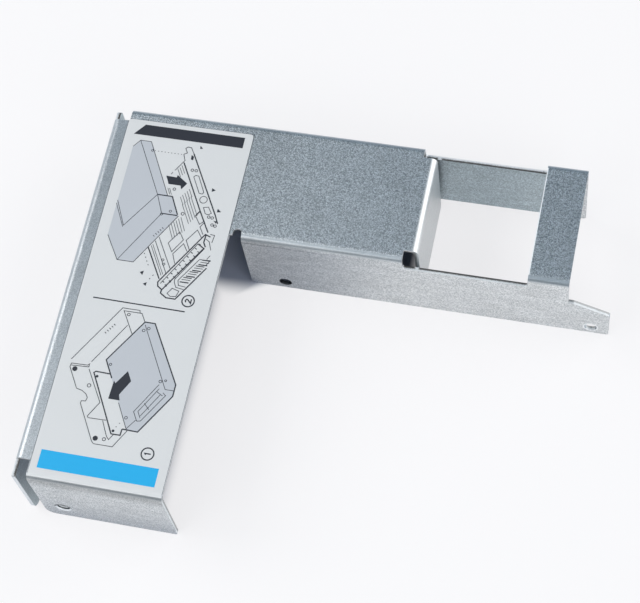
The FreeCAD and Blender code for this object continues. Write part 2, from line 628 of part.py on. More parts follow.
STEP_TWO_SCREWS = [
    [(19.8, 92.5), (20.6, 91.8), (19.9, 91.6)],
    [(25.5, 81.2), (26.5, 80.7), (25.6, 80.2)],
    [(28.2, 75.8), (29.2, 75.0), (28.2, 74.8)],
    [(13.3, 55.9), (14.2, 56.4), (14.1, 55.2)],
    [(14.8, 53.0), (15.7, 53.5), (15.6, 52.5)],
    [(18.2, 89.6), (18.9, 89.2), (18.9, 88.2), (18.3, 88.3)],
    [(27.9, 72.4), (28.8, 72.3), (28.6, 71.7)],
]

# Rows of equal marks: (first mark's ends, step to the next mark, number of marks, weight in line weights)
ROWS = [
    (((8.9, 39.0), (9.3, 38.7)), (0.42, 0.6), 5, 1.2),
    (((14.1, 66.2), (14.5, 65.9)), (0.42, 0.6), 5, 1.2),
    (((8.7, 89.4), (8.95, 89.4)), (0.85, 0.0), 9, 1.0),
    (((13.1, 61.1), (13.25, 60.85)), (0.55, -0.95), 4, 1.2),
    (((16.8, 55.7), (16.65, 55.4)), (-0.6, -1.0), 2, 1.2),
    (((18.4, 16.9), (18.3, 16.7)), (-0.6, -1.0), 2, 1.2),
    (((15.7, 85.2), (16.9, 83.1)), (0.4, 0.55), 4, 0.8),
    (((14.5, 79.6), (15.4, 77.9)), (0.45, 0.0), 2, 0.8),
    (((18.2, 77.6), (19.4, 75.5)), (0.42, 0.62), 5, 0.8),
    (((19.2, 75.6), (22.0, 70.6)), (0.4, 0.62), 5, 0.8),
    (((17.2, 69.6), (19.0, 66.0)), (0.5, 0.5), 6, 0.8),
    (((14.3, 63.4), (18.7, 55.8)), (0.33, 0.35), 2, 0.8),
    (((19.4, 54.4), (19.9, 54.1)), (0.72, 1.25), 10, 1.4),
    (((20.2, 53.6), (20.8, 53.2)), (0.72, 1.25), 9, 1.4),
    (((23.6, 54.9), (25.8, 54.9)), (1.15, 1.75), 4, 1.8),
    (((23.9, 55.6), (26.1, 55.6)), (1.15, 1.75), 4, 1.0),
    (((24.2, 56.2), (26.3, 56.2)), (1.15, 1.75), 4, 1.4),
]


def art_point(point):
    """A place on the art, brought onto the label that the sheet describes."""
    start = number("Sizes.label_start")
    across_scale = (number(LABEL_END) - start) / ART_WIDTH
    scale = min(across_scale, number(LABEL_BACK) / ART_LENGTH)
    top = number(f"{HEIGHT} + Sizes.label_gauge")
    return Vector(start + point[0] * scale, point[1] * scale, top)


def filled(points):
    """A filled mark with straight sides."""
    return Part.Face(Part.makePolygon(points + points[:1]))


def offsets(points, half, closed):
    """The two sides of a stroke, half its weight from its middle line, with mitred corners."""
    left = []
    right = []
    last = len(points) - 1
    for place, point in enumerate(points):
        into = (point - points[place - 1]).normalize() if closed or place > 0 else None
        out = (points[(place + 1) % len(points)] - point).normalize() if closed or place < last else None
        normals = [Vector(-way.y, way.x, 0) for way in (into, out) if way is not None]
        side = sum(normals[1:], normals[0])
        if len(normals) == 2:
            side = side * (1 / max(1 + normals[0].dot(normals[1]), 0.3))
        left.append(point + side * half)
        right.append(point - side * half)
    return left, right


def stroke(points, weight, closed=False):
    """A line of even weight as a face."""
    left, right = offsets([art_point(point) for point in points], weight / 2, closed)
    if not closed:
        return filled(left + right[::-1])
    loops = sorted((filled(left), filled(right)), key=lambda face: face.Area)
    return loops[1].cut(loops[0]).Faces[0]


def round_points(across, along, radius):
    """Even places round a circle, more of them on a larger one."""
    sides = 8 + 4 * round(3 * max(radius - 0.5, 0))
    turns = [2 * math.pi * side / sides for side in range(sides)]
    return [(across + radius * math.cos(turn), along + radius * math.sin(turn)) for turn in turns]


def disc(across, along, radius):
    """A round mark."""
    return mark(round_points(across, along, radius))


def ring(across, along, radius, weight):
    """A round line."""
    return stroke(round_points(across, along, radius), weight, True)


def mark(points):
    """A filled mark given in the art's own places."""
    return filled([art_point(point) for point in points])


def black_marks():
    """Every mark printed in black."""
    thin = SIZE["line_weight"]
    bold = SIZE["bold_weight"]
    faces = [mark(TITLE_BAND), mark(STEP_ONE_ARROW), mark(STEP_TWO_ARROW), stroke(DIVIDER, bold)]
    faces += [mark(points) for points in STEP_TWO_SCREWS]
    faces += [stroke(points, thin) for points in STEP_ONE_THIN + STEP_TWO_THIN]
    faces += [stroke(points, bold) for points in STEP_ONE_BOLD + STEP_TWO_BOLD]
    faces += [stroke(points, thin, True) for points in STEP_TWO_LOOPS]
    faces += [ring(*place, thin) for place in STEP_ONE_RINGS + STEP_TWO_RINGS]
    faces += [disc(*place) for place in STEP_ONE_SCREWS]
    for (across, along), digit in BADGES.items():
        faces.append(ring(across, along, BADGE_RADIUS, bold))
        faces.append(stroke([(across + x, along + y) for x, y in digit], bold))
    for (first, last), step, count, weight in ROWS:
        for turn in range(round(count)):
            ends = [(x + turn * step[0], y + turn * step[1]) for x, y in (first, last)]
            faces.append(stroke(ends, thin * weight))
    return faces[0].multiFuse(faces[1:])


def print_node(name, faces):
    """One ink on the label: marks that meet become one thin solid."""
    solids = faces.extrude(Vector(0, 0, SIZE["ink_gauge"])).Solids
    shape = solids[0]
    if len(solids) > 1:
        shape = solids[0].multiFuse(solids[1:]).removeSplitter()
    node = document.addObject("Part::Feature", name)
    node.Label = name
    node.Shape = shape
    seat(node)
    return node


def make_print():
    """Three inks side by side: black over everything, blue and grey around it."""
    black = black_marks()
    grey = mark(STEP_ONE_TINT).multiFuse([mark(STEP_TWO_TINT)]).cut(black)
    return [
        print_node("label_print_black", black),
        print_node("label_print_blue", mark(FOOT_BAND)),
        print_node("label_print_grey", grey),
    ]


pieces = [make_bracket(), make_label()] + make_print()
document.recompute()
for item in document.Objects:
    if "Invalid" in item.State or "Error" in item.State:
        raise RuntimeError(f"{item.Label} failed: {item.State}")
for piece in pieces:
    if piece.Shape.isNull() or not piece.Shape.isValid():
        raise RuntimeError(f"{piece.Label} has no valid shape")

os.makedirs("parts", exist_ok=True)
for piece in pieces:
    piece.Shape.exportStep(f"parts/{piece.Label}.step")
    box = piece.Shape.BoundBox
    print(f"{piece.Label}: {len(piece.Shape.Solids)} solid(s), {piece.Shape.Volume:.1f} mm3, "
          f"X {box.XMin:.2f}..{box.XMax:.2f} Y {box.YMin:.2f}..{box.YMax:.2f} Z {box.ZMin:.2f}..{box.ZMax:.2f}")
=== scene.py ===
# %% [markdown]
# Drive bay adapter bracket: looks for a folded steel sheet
#
# The real part is one sheet of zinc-coated steel, punched and folded, with a printed paper label on its
# long arm. The CAD model already has the folds, holes and print at their true sizes, so this lesson
# keeps those meshes and gives them finishes. It adds one new piece, the threads inside the tapped holes,
# and the steel's material draws the marks that punching and folding leave on the sheet, along with
# painted light, shade and shadow on some of its faces.
#
# The first cell loads the CAD frame. Everything is in metres, in the same place as the CAD, so nothing
# has to be fitted. The box that the CAD fills is kept.

# %% Load the frame
import math

import bmesh
import bpy
from mathutils import Matrix, Vector


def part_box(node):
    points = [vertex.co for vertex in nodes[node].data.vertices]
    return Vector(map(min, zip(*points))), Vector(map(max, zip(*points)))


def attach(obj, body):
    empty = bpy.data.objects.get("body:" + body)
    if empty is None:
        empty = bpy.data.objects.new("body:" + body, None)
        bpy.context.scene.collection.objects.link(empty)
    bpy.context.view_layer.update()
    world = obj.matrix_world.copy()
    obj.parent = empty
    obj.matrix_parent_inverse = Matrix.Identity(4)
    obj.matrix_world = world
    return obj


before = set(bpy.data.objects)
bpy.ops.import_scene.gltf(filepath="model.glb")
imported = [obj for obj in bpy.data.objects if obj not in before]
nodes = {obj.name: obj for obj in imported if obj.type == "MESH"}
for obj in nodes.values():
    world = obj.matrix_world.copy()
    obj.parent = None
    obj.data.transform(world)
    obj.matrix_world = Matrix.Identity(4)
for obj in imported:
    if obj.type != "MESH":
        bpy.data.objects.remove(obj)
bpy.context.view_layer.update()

print("CAD nodes:", sorted(nodes))

# %% [markdown]
# Shared sizes
#
# On the real part each flange is a straight fold away from the flat sheet, so a few distances place all
# of its faces. They could be measured on the mesh, but named sizes are easier to read, and they are the
# ones of the CAD source. They are in millimetres, as a sheet-metal drawing gives them, and `MM` brings
# them to metres. X is measured from the outer face of the side flange, Y from the outer face of the end
# flange, and Z from the table. `spot` moves a place on the drawing into the frame, whose origin is under
# the middle of the part.

# %% Shared sizes
MM = 0.001
low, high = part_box("bracket")
HEIGHT = high.z / MM
GAUGE = 1.0
FRONT_FACE = 68.8
BACK_FACE = 100.8
WALL_FACE = 82.9
WINDOW_SILL = 20.1
STRAP_SIDE = 109.7
STRAP_END = 119.5


def spot(x, y, z):
    """A place in the frame from millimetres on the drawing."""
    return Vector((low.x + x * MM, low.y + y * MM, z * MM))


print("height", round(HEIGHT, 3), "mm; corner of the drawing at", spot(0, 0, 0))

# %% [markdown]
# Camera
#
# The photograph looks down on the part from the end of its long arm, through a long lens. A camera can
# be aimed by eye, but then every edge is off by a little. This one's place and turn were solved from
# corners whose places on the part are known, so the render lies on the photograph. The picture was
# cropped off centre, and the lens is shifted sideways by the same small share of the frame.

# %% Camera
PHOTO_WIDTH = 640
FOCAL_PIXELS = 1901.256
CROP_PIXELS = 30
SENSOR_WIDTH = 36
NEAREST_SEEN = 0.01
CAMERA_TURN = (2.686690, 0.256014, -0.213289)
CAMERA_STEP = (-62.557, 50.497, 462.416)


def make_camera():
    """The photograph's camera. The turn is an axis times an angle, from the part to the lens."""
    turn = Vector(CAMERA_TURN)
    world_to_lens = Matrix.Rotation(turn.length, 3, turn.normalized())
    place = -(world_to_lens.transposed() @ Vector(CAMERA_STEP))
    flip = Matrix(((1, 0, 0), (0, -1, 0), (0, 0, -1)))
    data = bpy.data.cameras.new("camera")
    data.sensor_width = SENSOR_WIDTH
    data.lens = FOCAL_PIXELS * SENSOR_WIDTH / PHOTO_WIDTH
    data.shift_x = CROP_PIXELS / PHOTO_WIDTH
    data.clip_start = NEAREST_SEEN
    lens = bpy.data.objects.new("camera", data)
    bpy.context.scene.collection.objects.link(lens)
    lens.matrix_world = Matrix.Translation(spot(*place)) @ (world_to_lens.transposed() @ flip).to_4x4()
    bpy.context.scene.camera = lens
    return lens


camera = make_camera()
print("camera at", camera.matrix_world.translation, "lens", round(camera.data.lens, 1), "mm")

# %% [markdown]
# Node helpers
#
# Every finish here is a tree of nodes. A tree can be wired one link at a time, but then the script is
# long and its idea is hard to see. With these helpers it reads as a list of nodes and what feeds them:
# `node` makes one and fills its sockets, where a plain value is stored on the socket, and a socket of
# another node is linked to it.

# %% Node helpers
MIX_COLOUR_A = 6
MIX_COLOUR_B = 7
MIX_COLOUR_OUT = 2


def fill(tree, target, value):
    """Store a value on a socket, or link another node's socket to it."""
    if isinstance(value, bpy.types.NodeSocket):
        tree.links.new(value, target)
    else:
        target.default_value = value


def node(tree, kind, inputs=None, **settings):
    """A node with its settings, and its sockets filled by name or place."""
    made = tree.nodes.new(kind)
    for name, value in settings.items():
        setattr(made, name, value)
    for name, value in (inputs or {}).items():
        fill(tree, made.inputs[name], value)
    return made


def maths(tree, operation, *values):
    """The result of a Math node."""
    return node(tree, "ShaderNodeMath", dict(enumerate(values)), operation=operation).outputs[0]


def stretch(tree, value, low_in, high_in, low_out=0.0, high_out=1.0, steps="LINEAR"):
    """A value brought from one range to another, and held inside it."""
    return node(tree, "ShaderNodeMapRange", {
        "Value": value, "From Min": low_in, "From Max": high_in, "To Min": low_out, "To Max": high_out},
        interpolation_type=steps).outputs["Result"]


def weighted(tree, values, shares):
    """The sum of some values, each times its share."""
    total = None
    for value, share in zip(values, shares):
        part = maths(tree, "MULTIPLY", value, share)
        total = part if total is None else maths(tree, "ADD", total, part)
    return total


def blend(tree, share, first, second, way="MIX"):
    """Two colours mixed by a share."""
    mixer = node(tree, "ShaderNodeMix", {"Factor": share}, data_type="RGBA", blend_type=way)
    fill(tree, mixer.inputs[MIX_COLOUR_A], first)
    fill(tree, mixer.inputs[MIX_COLOUR_B], second)
    return mixer.outputs[MIX_COLOUR_OUT]


def grey(value):
    """An even grey as a colour."""
    return (value, value, value, 1)


print("node helpers: ready")

# %% [markdown]
# An effect that several materials use is a node group, built once. A material ends in its Principled
# shader, which stays outside the groups, so that an exporter can read it.

# %% Groups and materials
def new_group(name, inputs, outputs):
    """A shader group with named value sockets, as (tree, its input node, its output node)."""
    tree = bpy.data.node_groups.new(name, "ShaderNodeTree")
    for label, value in inputs.items():
        socket = tree.interface.new_socket(label, in_out="INPUT", socket_type="NodeSocketFloat")
        socket.default_value = value
    for label in outputs:
        tree.interface.new_socket(label, in_out="OUTPUT", socket_type="NodeSocketFloat")
    return tree, tree.nodes.new("NodeGroupInput"), tree.nodes.new("NodeGroupOutput")


def put_out(tree, out, values):
    """Link each named value to the group's output of that name."""
    for label, value in values.items():
        tree.links.new(value, out.inputs[label])


def use_group(tree, group, values=None):
    """The outputs of a group placed in a material, with the material's own values on its inputs."""
    placed = node(tree, "ShaderNodeGroup", node_tree=group)
    for name, value in (values or {}).items():
        placed.inputs[name].default_value = value
    return placed.outputs


def new_material(name):
    """A material with an empty tree, as (material, tree)."""
    material = bpy.data.materials.new(name)
    material.use_nodes = True
    material.node_tree.nodes.clear()
    return material, material.node_tree


def surface(tree, shader, end="ShaderNodeOutputMaterial"):
    """Send a shader to the material's or the world's surface."""
    tree.links.new(shader.outputs[0], node(tree, end).inputs["Surface"])


print("groups and materials: ready")

# %% [markdown]
# Zinc speckle
#
# Hot-dip zinc on thin steel sheet dries in tiny flat crystals. From arm's length they read as a fine
# grey speckle with soft darker clouds, and each grain tips its own way, so some of them catch the light.
# A photographed texture would show its edges and repeat. Procedural noise doesn't, and it is as fine
# in a close view as in a far one. The group puts out four masks from Object coordinates: `Speckle` for
# single grains, `Cloud` for slow changes of tone, `Height` for the tiny relief, and `Streak` for the
# long marks that the rolling mill leaves along the sheet.

# %% Zinc speckle group
DUST_FINENESS = 1.6
DUST_RANGE = (0.32, 0.68)
CELL_RANGE = (0.75, 0.15)
SOFT_RANGE = (0.3, 0.7)
SPECKLE_SHARES = (0.4, 0.25, 0.35)
STREAK_SCALE = (0.12, 0.12, 0.55)


def noise(tree, place, scale, detail, roughness):
    """A noise value that mostly runs from 0.3 to 0.7."""
    return node(tree, "ShaderNodeTexNoise", {"Vector": place, "Scale": scale, "Detail": detail,
                                             "Roughness": roughness}).outputs["Fac"]


def make_speckle():
    """Masks for the grains, clouds, relief and rolling streaks of a zinc coat."""
    tree, entry, out = new_group("zinc speckle", {"Grain": 0.45, "Cloud size": 9.0},
                                 ("Speckle", "Cloud", "Height", "Streak"))
    place = node(tree, "ShaderNodeTexCoord").outputs["Object"]
    fine = maths(tree, "DIVIDE", 1 / MM, entry.outputs["Grain"])
    wide = maths(tree, "DIVIDE", 1 / MM, entry.outputs["Cloud size"])
    along = node(tree, "ShaderNodeVectorMath", {0: place, 1: STREAK_SCALE}, operation="MULTIPLY").outputs[0]
    cells = node(tree, "ShaderNodeTexVoronoi", {"Vector": place, "Scale": fine, "Randomness": 1.0}).outputs
    shade = node(tree, "ShaderNodeSeparateColor", {"Color": cells["Color"]}).outputs[0]
    middle = stretch(tree, cells["Distance"], *CELL_RANGE)
    dust_scale = maths(tree, "MULTIPLY", fine, DUST_FINENESS)
    dust = stretch(tree, noise(tree, place, dust_scale, detail=2.0, roughness=0.7), *DUST_RANGE)
    clouds = noise(tree, place, wide, detail=4.0, roughness=0.6)
    streaks = noise(tree, along, 1 / MM, detail=3.0, roughness=0.6)
    put_out(tree, out, {
        "Speckle": weighted(tree, (shade, dust, middle), SPECKLE_SHARES),
        "Cloud": stretch(tree, clouds, *SOFT_RANGE),
        "Height": dust,
        "Streak": stretch(tree, streaks, *SOFT_RANGE),
    })
    return tree


speckle_group = make_speckle()
print("zinc speckle group:", len(speckle_group.nodes), "nodes")

# %% [markdown]
# Masks from places
#
# Cut faces, folds, hole mouths and inner faces all look different on the real sheet. They could be
# painted on the mesh or given slots of their own, but a CAD mesh has to stay as it is. So each mark is
# found by where it stands on the drawing and by the way its face looks. These helpers turn such tests
# into masks: 1 where a test is true, and 0 elsewhere.

# %% Mask helpers
def drawing_place(tree):
    """Object coordinates as X, Y and Z in millimetres on the drawing."""
    place = node(tree, "ShaderNodeTexCoord").outputs["Object"]
    moved = node(tree, "ShaderNodeVectorMath", {0: place, 1: (low.x, low.y, 0.0)}, operation="SUBTRACT")
    scaled = node(tree, "ShaderNodeVectorMath", {0: moved.outputs[0], "Scale": 1 / MM}, operation="SCALE")
    return node(tree, "ShaderNodeSeparateXYZ", {0: scaled.outputs[0]}).outputs


def face_turns(tree):
    """The parts along X, Y and Z of the way a face looks, from -1 to 1."""
    facing = node(tree, "ShaderNodeTexCoord").outputs["Normal"]
    return node(tree, "ShaderNodeSeparateXYZ", {0: facing}).outputs


def unsigned(tree, values):
    """The same values without their signs."""
    return [maths(tree, "ABSOLUTE", value) for value in values]


def nearest(tree, value, places):
    """How far a value is from the nearest of some places."""
    gaps = [maths(tree, "ABSOLUTE", maths(tree, "SUBTRACT", value, place)) for place in places]
    distance = gaps[0]
    for gap in gaps[1:]:
        distance = maths(tree, "MINIMUM", distance, gap)
    return distance


def above(tree, value, edge):
    """1 above a value."""
    return maths(tree, "GREATER_THAN", value, edge)


def below(tree, value, edge):
    """1 below a value."""
    return maths(tree, "LESS_THAN", value, edge)


def both(tree, *masks):
    """The product of some masks: 1 where every one is 1."""
    result = masks[0]
    for mask in masks[1:]:
        result = maths(tree, "MULTIPLY", result, mask)
    return result


def either(tree, *masks):
    """The highest of some masks: 1 where any of them is 1."""
    result = masks[0]
    for mask in masks[1:]:
        result = maths(tree, "MAXIMUM", result, mask)
    return result


def between(tree, value, start, end):
    """1 between two values."""
    return both(tree, above(tree, value, start), below(tree, value, end))


def without(tree, mask):
    """1 where a mask is 0, and 0 where it is 1."""
    return maths(tree, "SUBTRACT", 1.0, mask)


print("mask helpers: ready")

# %% [markdown]
# Raw edges
#
# A punch shears the sheet, and the cut face is bare steel. Its first part is pressed smooth and bright,
# and the rest tears away dark and rough. The coat's material could simply cover these faces, but bright
# and dark edges are what makes sheet metal look like sheet metal. A cut face is one of four kinds: it
# looks up below the plate, it stands upright within the plate's thickness, or it looks along X or along
# Y away from the faces that the flanges have there. `Depth` is the distance from the sheet's outer face
# in millimetres, and `Sill` marks the cut faces beside the window.

# %% Raw edge group
OUTER_Y = (0.0, FRONT_FACE, BACK_FACE)
INNER_Y = (GAUGE, FRONT_FACE + GAUGE, BACK_FACE - GAUGE)
OUTER_X = (0.0, WALL_FACE)
INNER_X = (GAUGE, WALL_FACE - GAUGE)
LOOKS_UP = 0.75
STANDS_UP = 0.3
SQUARE_ON = 0.9
UNDER_PLATE = 1.2
PLATE_DEPTH = 0.95
OFF_SKIN = 0.2
SILL_MARGIN = 0.1


def make_raw_edge():
    """Masks for the cut faces of the sheet, and how deep they are from its outer face."""
    tree, _, out = new_group("raw edge", {}, ("Mask", "Depth", "Sill"))
    x, y, z = drawing_place(tree)
    turn_x, turn_y, turn_z = unsigned(tree, face_turns(tree))
    upward = both(tree, above(tree, turn_z, LOOKS_UP), below(tree, z, HEIGHT - UNDER_PLATE))
    in_plate = both(tree, below(tree, turn_z, STANDS_UP), above(tree, z, HEIGHT - PLATE_DEPTH))
    along_x = both(tree, above(tree, turn_x, SQUARE_ON),
                   above(tree, nearest(tree, x, OUTER_X + INNER_X), OFF_SKIN))
    along_y = both(tree, above(tree, turn_y, SQUARE_ON),
                   above(tree, nearest(tree, y, OUTER_Y + INNER_Y), OFF_SKIN))
    depth = maths(tree, "MINIMUM", nearest(tree, y, OUTER_Y), nearest(tree, x, OUTER_X))
    put_out(tree, out, {
        "Mask": either(tree, upward, in_plate, along_x, along_y),
        "Depth": maths(tree, "MINIMUM", depth, nearest(tree, z, (HEIGHT,))),
        "Sill": both(tree, upward, above(tree, z, WINDOW_SILL - SILL_MARGIN)),
    })
    return tree


raw_edge_group = make_raw_edge()
print("raw edge group:", len(raw_edge_group.nodes), "nodes")

# %% [markdown]
# Holes
#
# Three holes are drawn through the sheet with a collar and tapped for the bay's screws, and two plain
# holes take the drive's screws. The tapped holes get bright crests, a painted highlight on the lower part
# of the ring round the mouth, and painted shade on the thread roots and on the lip above. The tongue's
# hole gets a painted highlight on its rim, and the front flange's hole painted shade in its bore. The
# rings could be rings of mesh, but they are a few tenths of a millimetre wide and flush with the sheet,
# so they are masks by the distance from the hole's axis. The light falls from above, so the painted
# highlight is on the ring's lower part and the painted shade on its upper part.

# %% Hole marks
BAY_HOLES_X = (9.1, 110.7)
BAY_HOLE_HEIGHT = 5.5
BAY_HOLE_RADIUS = 1.5
BAY_HOLE_DEPTH = 3.0
FLANGE_HOLE_X = 48.6
TONGUE_HOLE_X = 125.2
DRIVE_HOLE_HEIGHT = 3.0
DRIVE_HOLE_RADIUS = 1.6
ROOT_HALF = 0.07
# Widths of the painted highlight ring and the painted shade lip round a tapped mouth.
RING_HIGHLIGHT_WIDTH = 0.55
LIP_WIDTH = 0.8
LIP_SHADE_SHARE = 0.8
LIT_UP_TO = 0.4
RIM_WIDTH = 0.3
BORE_MARGIN = 0.03
AT_FACE = 0.2
THROUGH_SHEET = GAUGE + 0.1


def from_axis(tree, x, z, places, height):
    """How far a place is from the nearest hole's axis."""
    parts = {0: nearest(tree, x, places), 1: maths(tree, "SUBTRACT", z, height)}
    away = node(tree, "ShaderNodeCombineXYZ", parts).outputs[0]
    return node(tree, "ShaderNodeVectorMath", {0: away}, operation="LENGTH").outputs["Value"]


def tapped_marks(tree, x, y, z):
    """The bright crests of the tapped holes, a painted highlight on the lower ring, and painted shade on
    the roots and upper lip.
    """
    away = from_axis(tree, x, z, BAY_HOLES_X, BAY_HOLE_HEIGHT)
    here = below(tree, nearest(tree, y, (0.0, BACK_FACE)), BAY_HOLE_DEPTH)
    lower = below(tree, z, BAY_HOLE_HEIGHT + LIT_UP_TO)
    inside = BAY_HOLE_RADIUS - ROOT_HALF
    outside = BAY_HOLE_RADIUS + ROOT_HALF
    crest = below(tree, away, inside)
    painted_ring_highlight = both(tree, lower, between(tree, away, outside, BAY_HOLE_RADIUS + RING_HIGHLIGHT_WIDTH))
    # Painted shade on the thread roots.
    root = between(tree, away, inside, outside)
    painted_lip_shade = both(tree, between(tree, away, outside, BAY_HOLE_RADIUS + LIP_WIDTH), without(tree, lower),
               LIP_SHADE_SHARE)
    return both(tree, here, either(tree, crest, painted_ring_highlight)), both(tree, here, either(tree, root, painted_lip_shade))


def plain_marks(tree, x, y, z):
    """A painted highlight on the rim of the tongue's hole, and painted shade in the bore of the front
    flange's hole.
    """
    from_front = nearest(tree, y, (FRONT_FACE,))
    tongue = from_axis(tree, x, z, (TONGUE_HOLE_X,), DRIVE_HOLE_HEIGHT)
    flange = from_axis(tree, x, z, (FLANGE_HOLE_X,), DRIVE_HOLE_HEIGHT)
    painted_rim_highlight = between(tree, tongue, DRIVE_HOLE_RADIUS, DRIVE_HOLE_RADIUS + RIM_WIDTH)
    painted_bore_shade = below(tree, flange, DRIVE_HOLE_RADIUS + BORE_MARGIN)
    return (both(tree, below(tree, from_front, AT_FACE), painted_rim_highlight),
            both(tree, below(tree, from_front, THROUGH_SHEET), painted_bore_shade))


print("bay holes at X", BAY_HOLES_X, "drive holes at X", (FLANGE_HOLE_X, TONGUE_HOLE_X))

# %% [markdown]
# Which way the sheet faces
#
# The grains show most on the flat top, where the light comes straight down on them. On the upright
# flanges they look calmer, and a fold stretches the coat smooth. One even coat would look like paint, so
# this group tells the faces apart. `Upright` is 1 on the flanges, and `Fold` is 1 on the round of a
# bend. One output is the bright crests at the holes with their painted highlights, and one is all the
# painted shade at the holes. One is a painted glint along the strap's edge, and one is 1 on the flanges'
# inner faces, which get painted shade, darker and bluer. `HAIR` is a hair's width in millimetres, by
# which a test reaches past the edge of a face.

# %% Sheet facing group
SIDE_FOLD = 4.2
SIDE_FOLD_SHARE = 0.75
ON_SKIN = 0.1
HAIR = 0.05
# A painted glint along the strap's edge, on the top face.
STRAP_GLINT_SPAN = (STRAP_SIDE - HAIR, STRAP_SIDE + 0.22)
UPRIGHT_TURNS = (0.6, 0.2)
FOLD_TURNS = (0.995, 0.94)


def make_sheet_facing():
    """Masks for upright faces, folds, holes, the painted glint along the strap's edge and the painted shade
    on the inner faces.
    """
    tree, _, out = new_group("sheet facing", {}, ("Upright", "Fold", "Hole_crests_and_highlight", "Hole_shade", "Strap_glint", "Inner_shade"))
    x, y, z = drawing_place(tree)
    turn_x, turn_y, turn_z = unsigned(tree, face_turns(tree))
    most = either(tree, turn_x, turn_y, turn_z)
    crest_and_painted_highlight, painted_hole_shade = tapped_marks(tree, x, y, z)
    painted_rim_highlight, painted_bore_shade = plain_marks(tree, x, y, z)
    # Painted shade on the flanges' inner faces.
    inner_y = both(tree, above(tree, turn_y, SQUARE_ON), below(tree, x, STRAP_SIDE),
                   below(tree, nearest(tree, y, INNER_Y), ON_SKIN))
    inner_x = both(tree, above(tree, turn_x, SQUARE_ON), below(tree, nearest(tree, x, INNER_X), ON_SKIN))
    side_fold = both(tree, below(tree, x, SIDE_FOLD), SIDE_FOLD_SHARE)
    put_out(tree, out, {
        "Upright": stretch(tree, turn_z, *UPRIGHT_TURNS),
        "Fold": either(tree, stretch(tree, most, *FOLD_TURNS), side_fold),
        "Hole_crests_and_highlight": either(tree, crest_and_painted_highlight, painted_rim_highlight),
        "Hole_shade": either(tree, painted_hole_shade, painted_bore_shade),
        # Painted glint along the strap's edge.
        "Strap_glint": both(tree, above(tree, z, HEIGHT - HAIR), between(tree, x, *STRAP_GLINT_SPAN)),
        "Inner_shade": either(tree, inner_x, inner_y),
    })
    return tree


sheet_facing_group = make_sheet_facing()
print("sheet facing group:", len(sheet_facing_group.nodes), "nodes")

# %% [markdown]
# Marks on the steel
#
# Four marks are drawn on this sheet: a painted shadow just outside the label's edges, the line that
# the folding die leaves on the front flange, painted shade below the end fold, and painted light on the
# folded wall beside the window. They could be decals, but a decal lies on the steel as a piece of its
# own. As masks in the steel they follow its faces and cost no mesh.

# %% Painted shadow, shade and light, and the die line
LABEL_SIDES = (4.2, 36.6, 97.6)
# The painted shadow of the label's edge lies this far outside its outline, in millimetres.
LABEL_SHADOW_WIDTH = (0.25, 0.1)
LABEL_SHADOW_SHARE = 0.8
DIE_LINE_HEIGHT = 21.7
DIE_LINE_HALF = 0.12
DIE_LINE_FADE = (67.0, 40.5)
DIE_LINE_SHARE = 0.95
# Where the painted shade below the end fold lies.
UNDER_FOLD = (19.0, 21.5)
UNDER_FOLD_TOP = 0.25
UNDER_FOLD_REACH = 0.7
# Painted light on the folded wall beside the window.
WALL_FOLD = 1.9
WALL_TURNS = (0.1, 0.4)
WALL_LIGHT_SHARE = 0.65


def label_edge_shadow(tree):
    """Painted shadow: a dark line just outside the label's edges, where the label's edge shades the steel.
    """
    x, y, z = drawing_place(tree)
    left, right, back = LABEL_SIDES
    outside = either(tree, maths(tree, "SUBTRACT", left, x), maths(tree, "SUBTRACT", x, right),
                     maths(tree, "SUBTRACT", y, back))
    return both(tree, above(tree, z, HEIGHT - HAIR), stretch(tree, outside, *LABEL_SHADOW_WIDTH),
                above(tree, outside, -HAIR), LABEL_SHADOW_SHARE)


def die_line(tree):
    """The faint line that the folding die leaves on the front flange, near the label arm."""
    x, y, z = drawing_place(tree)
    return both(tree, between(tree, z, DIE_LINE_HEIGHT - DIE_LINE_HALF, DIE_LINE_HEIGHT + DIE_LINE_HALF),
                between(tree, y, FRONT_FACE - ON_SKIN, FRONT_FACE + ON_SKIN),
                stretch(tree, x, *DIE_LINE_FADE), DIE_LINE_SHARE)


def under_fold_shade(tree):
    """Painted shade on the end flange just below its fold."""
    _, y, z = drawing_place(tree)
    return both(tree, below(tree, y, UNDER_FOLD_REACH), stretch(tree, z, *UNDER_FOLD),
                below(tree, z, HEIGHT - UNDER_FOLD_TOP))


def wall_painted_light(tree):
    """Painted light on the folded wall's outer face and its fold."""
    x, y, _ = drawing_place(tree)
    return both(tree, stretch(tree, face_turns(tree)[0], *WALL_TURNS),
                between(tree, x, WALL_FACE - WALL_FOLD, WALL_FACE + HAIR),
                between(tree, y, FRONT_FACE + GAUGE, BACK_FACE - GAUGE), WALL_LIGHT_SHARE)


print("label line round", LABEL_SIDES, "die line at", DIE_LINE_HEIGHT, "mm")

# %% [markdown]
# Colour of the coat and the cuts
#
# Zinc is a grey metal, and its colour is what it mirrors times its own tone. The grains run from a dark
# to a light grey. The tone then changes with the clouds on the flat top and with the streaks on the
# flanges. Painted light makes the flanges lighter than the top and the folded wall lighter still, and
# painted shade darkens the top toward the strap, the inner faces and the end flange below its fold. A
# colour ramp could do it in one node, but separate blends keep each cause apart, so that each can be
# matched to the photograph alone. A cut is bright where the punch pressed and dark where the sheet tore,
# along a line made ragged by the grains' relief.

# %% Steel colours
GRAIN_DARK = (0.283, 0.309, 0.331, 1)
GRAIN_LIGHT = (0.90, 0.923, 0.944, 1)
# Painted shade on the flanges' inner faces, darker and bluer.
INNER_SHADE = (0.73, 0.82, 0.86, 1)
# Painted shade on the top, darker and bluer toward the strap.
STRAP_END_SHADE = (0.765, 0.80, 0.83, 1)
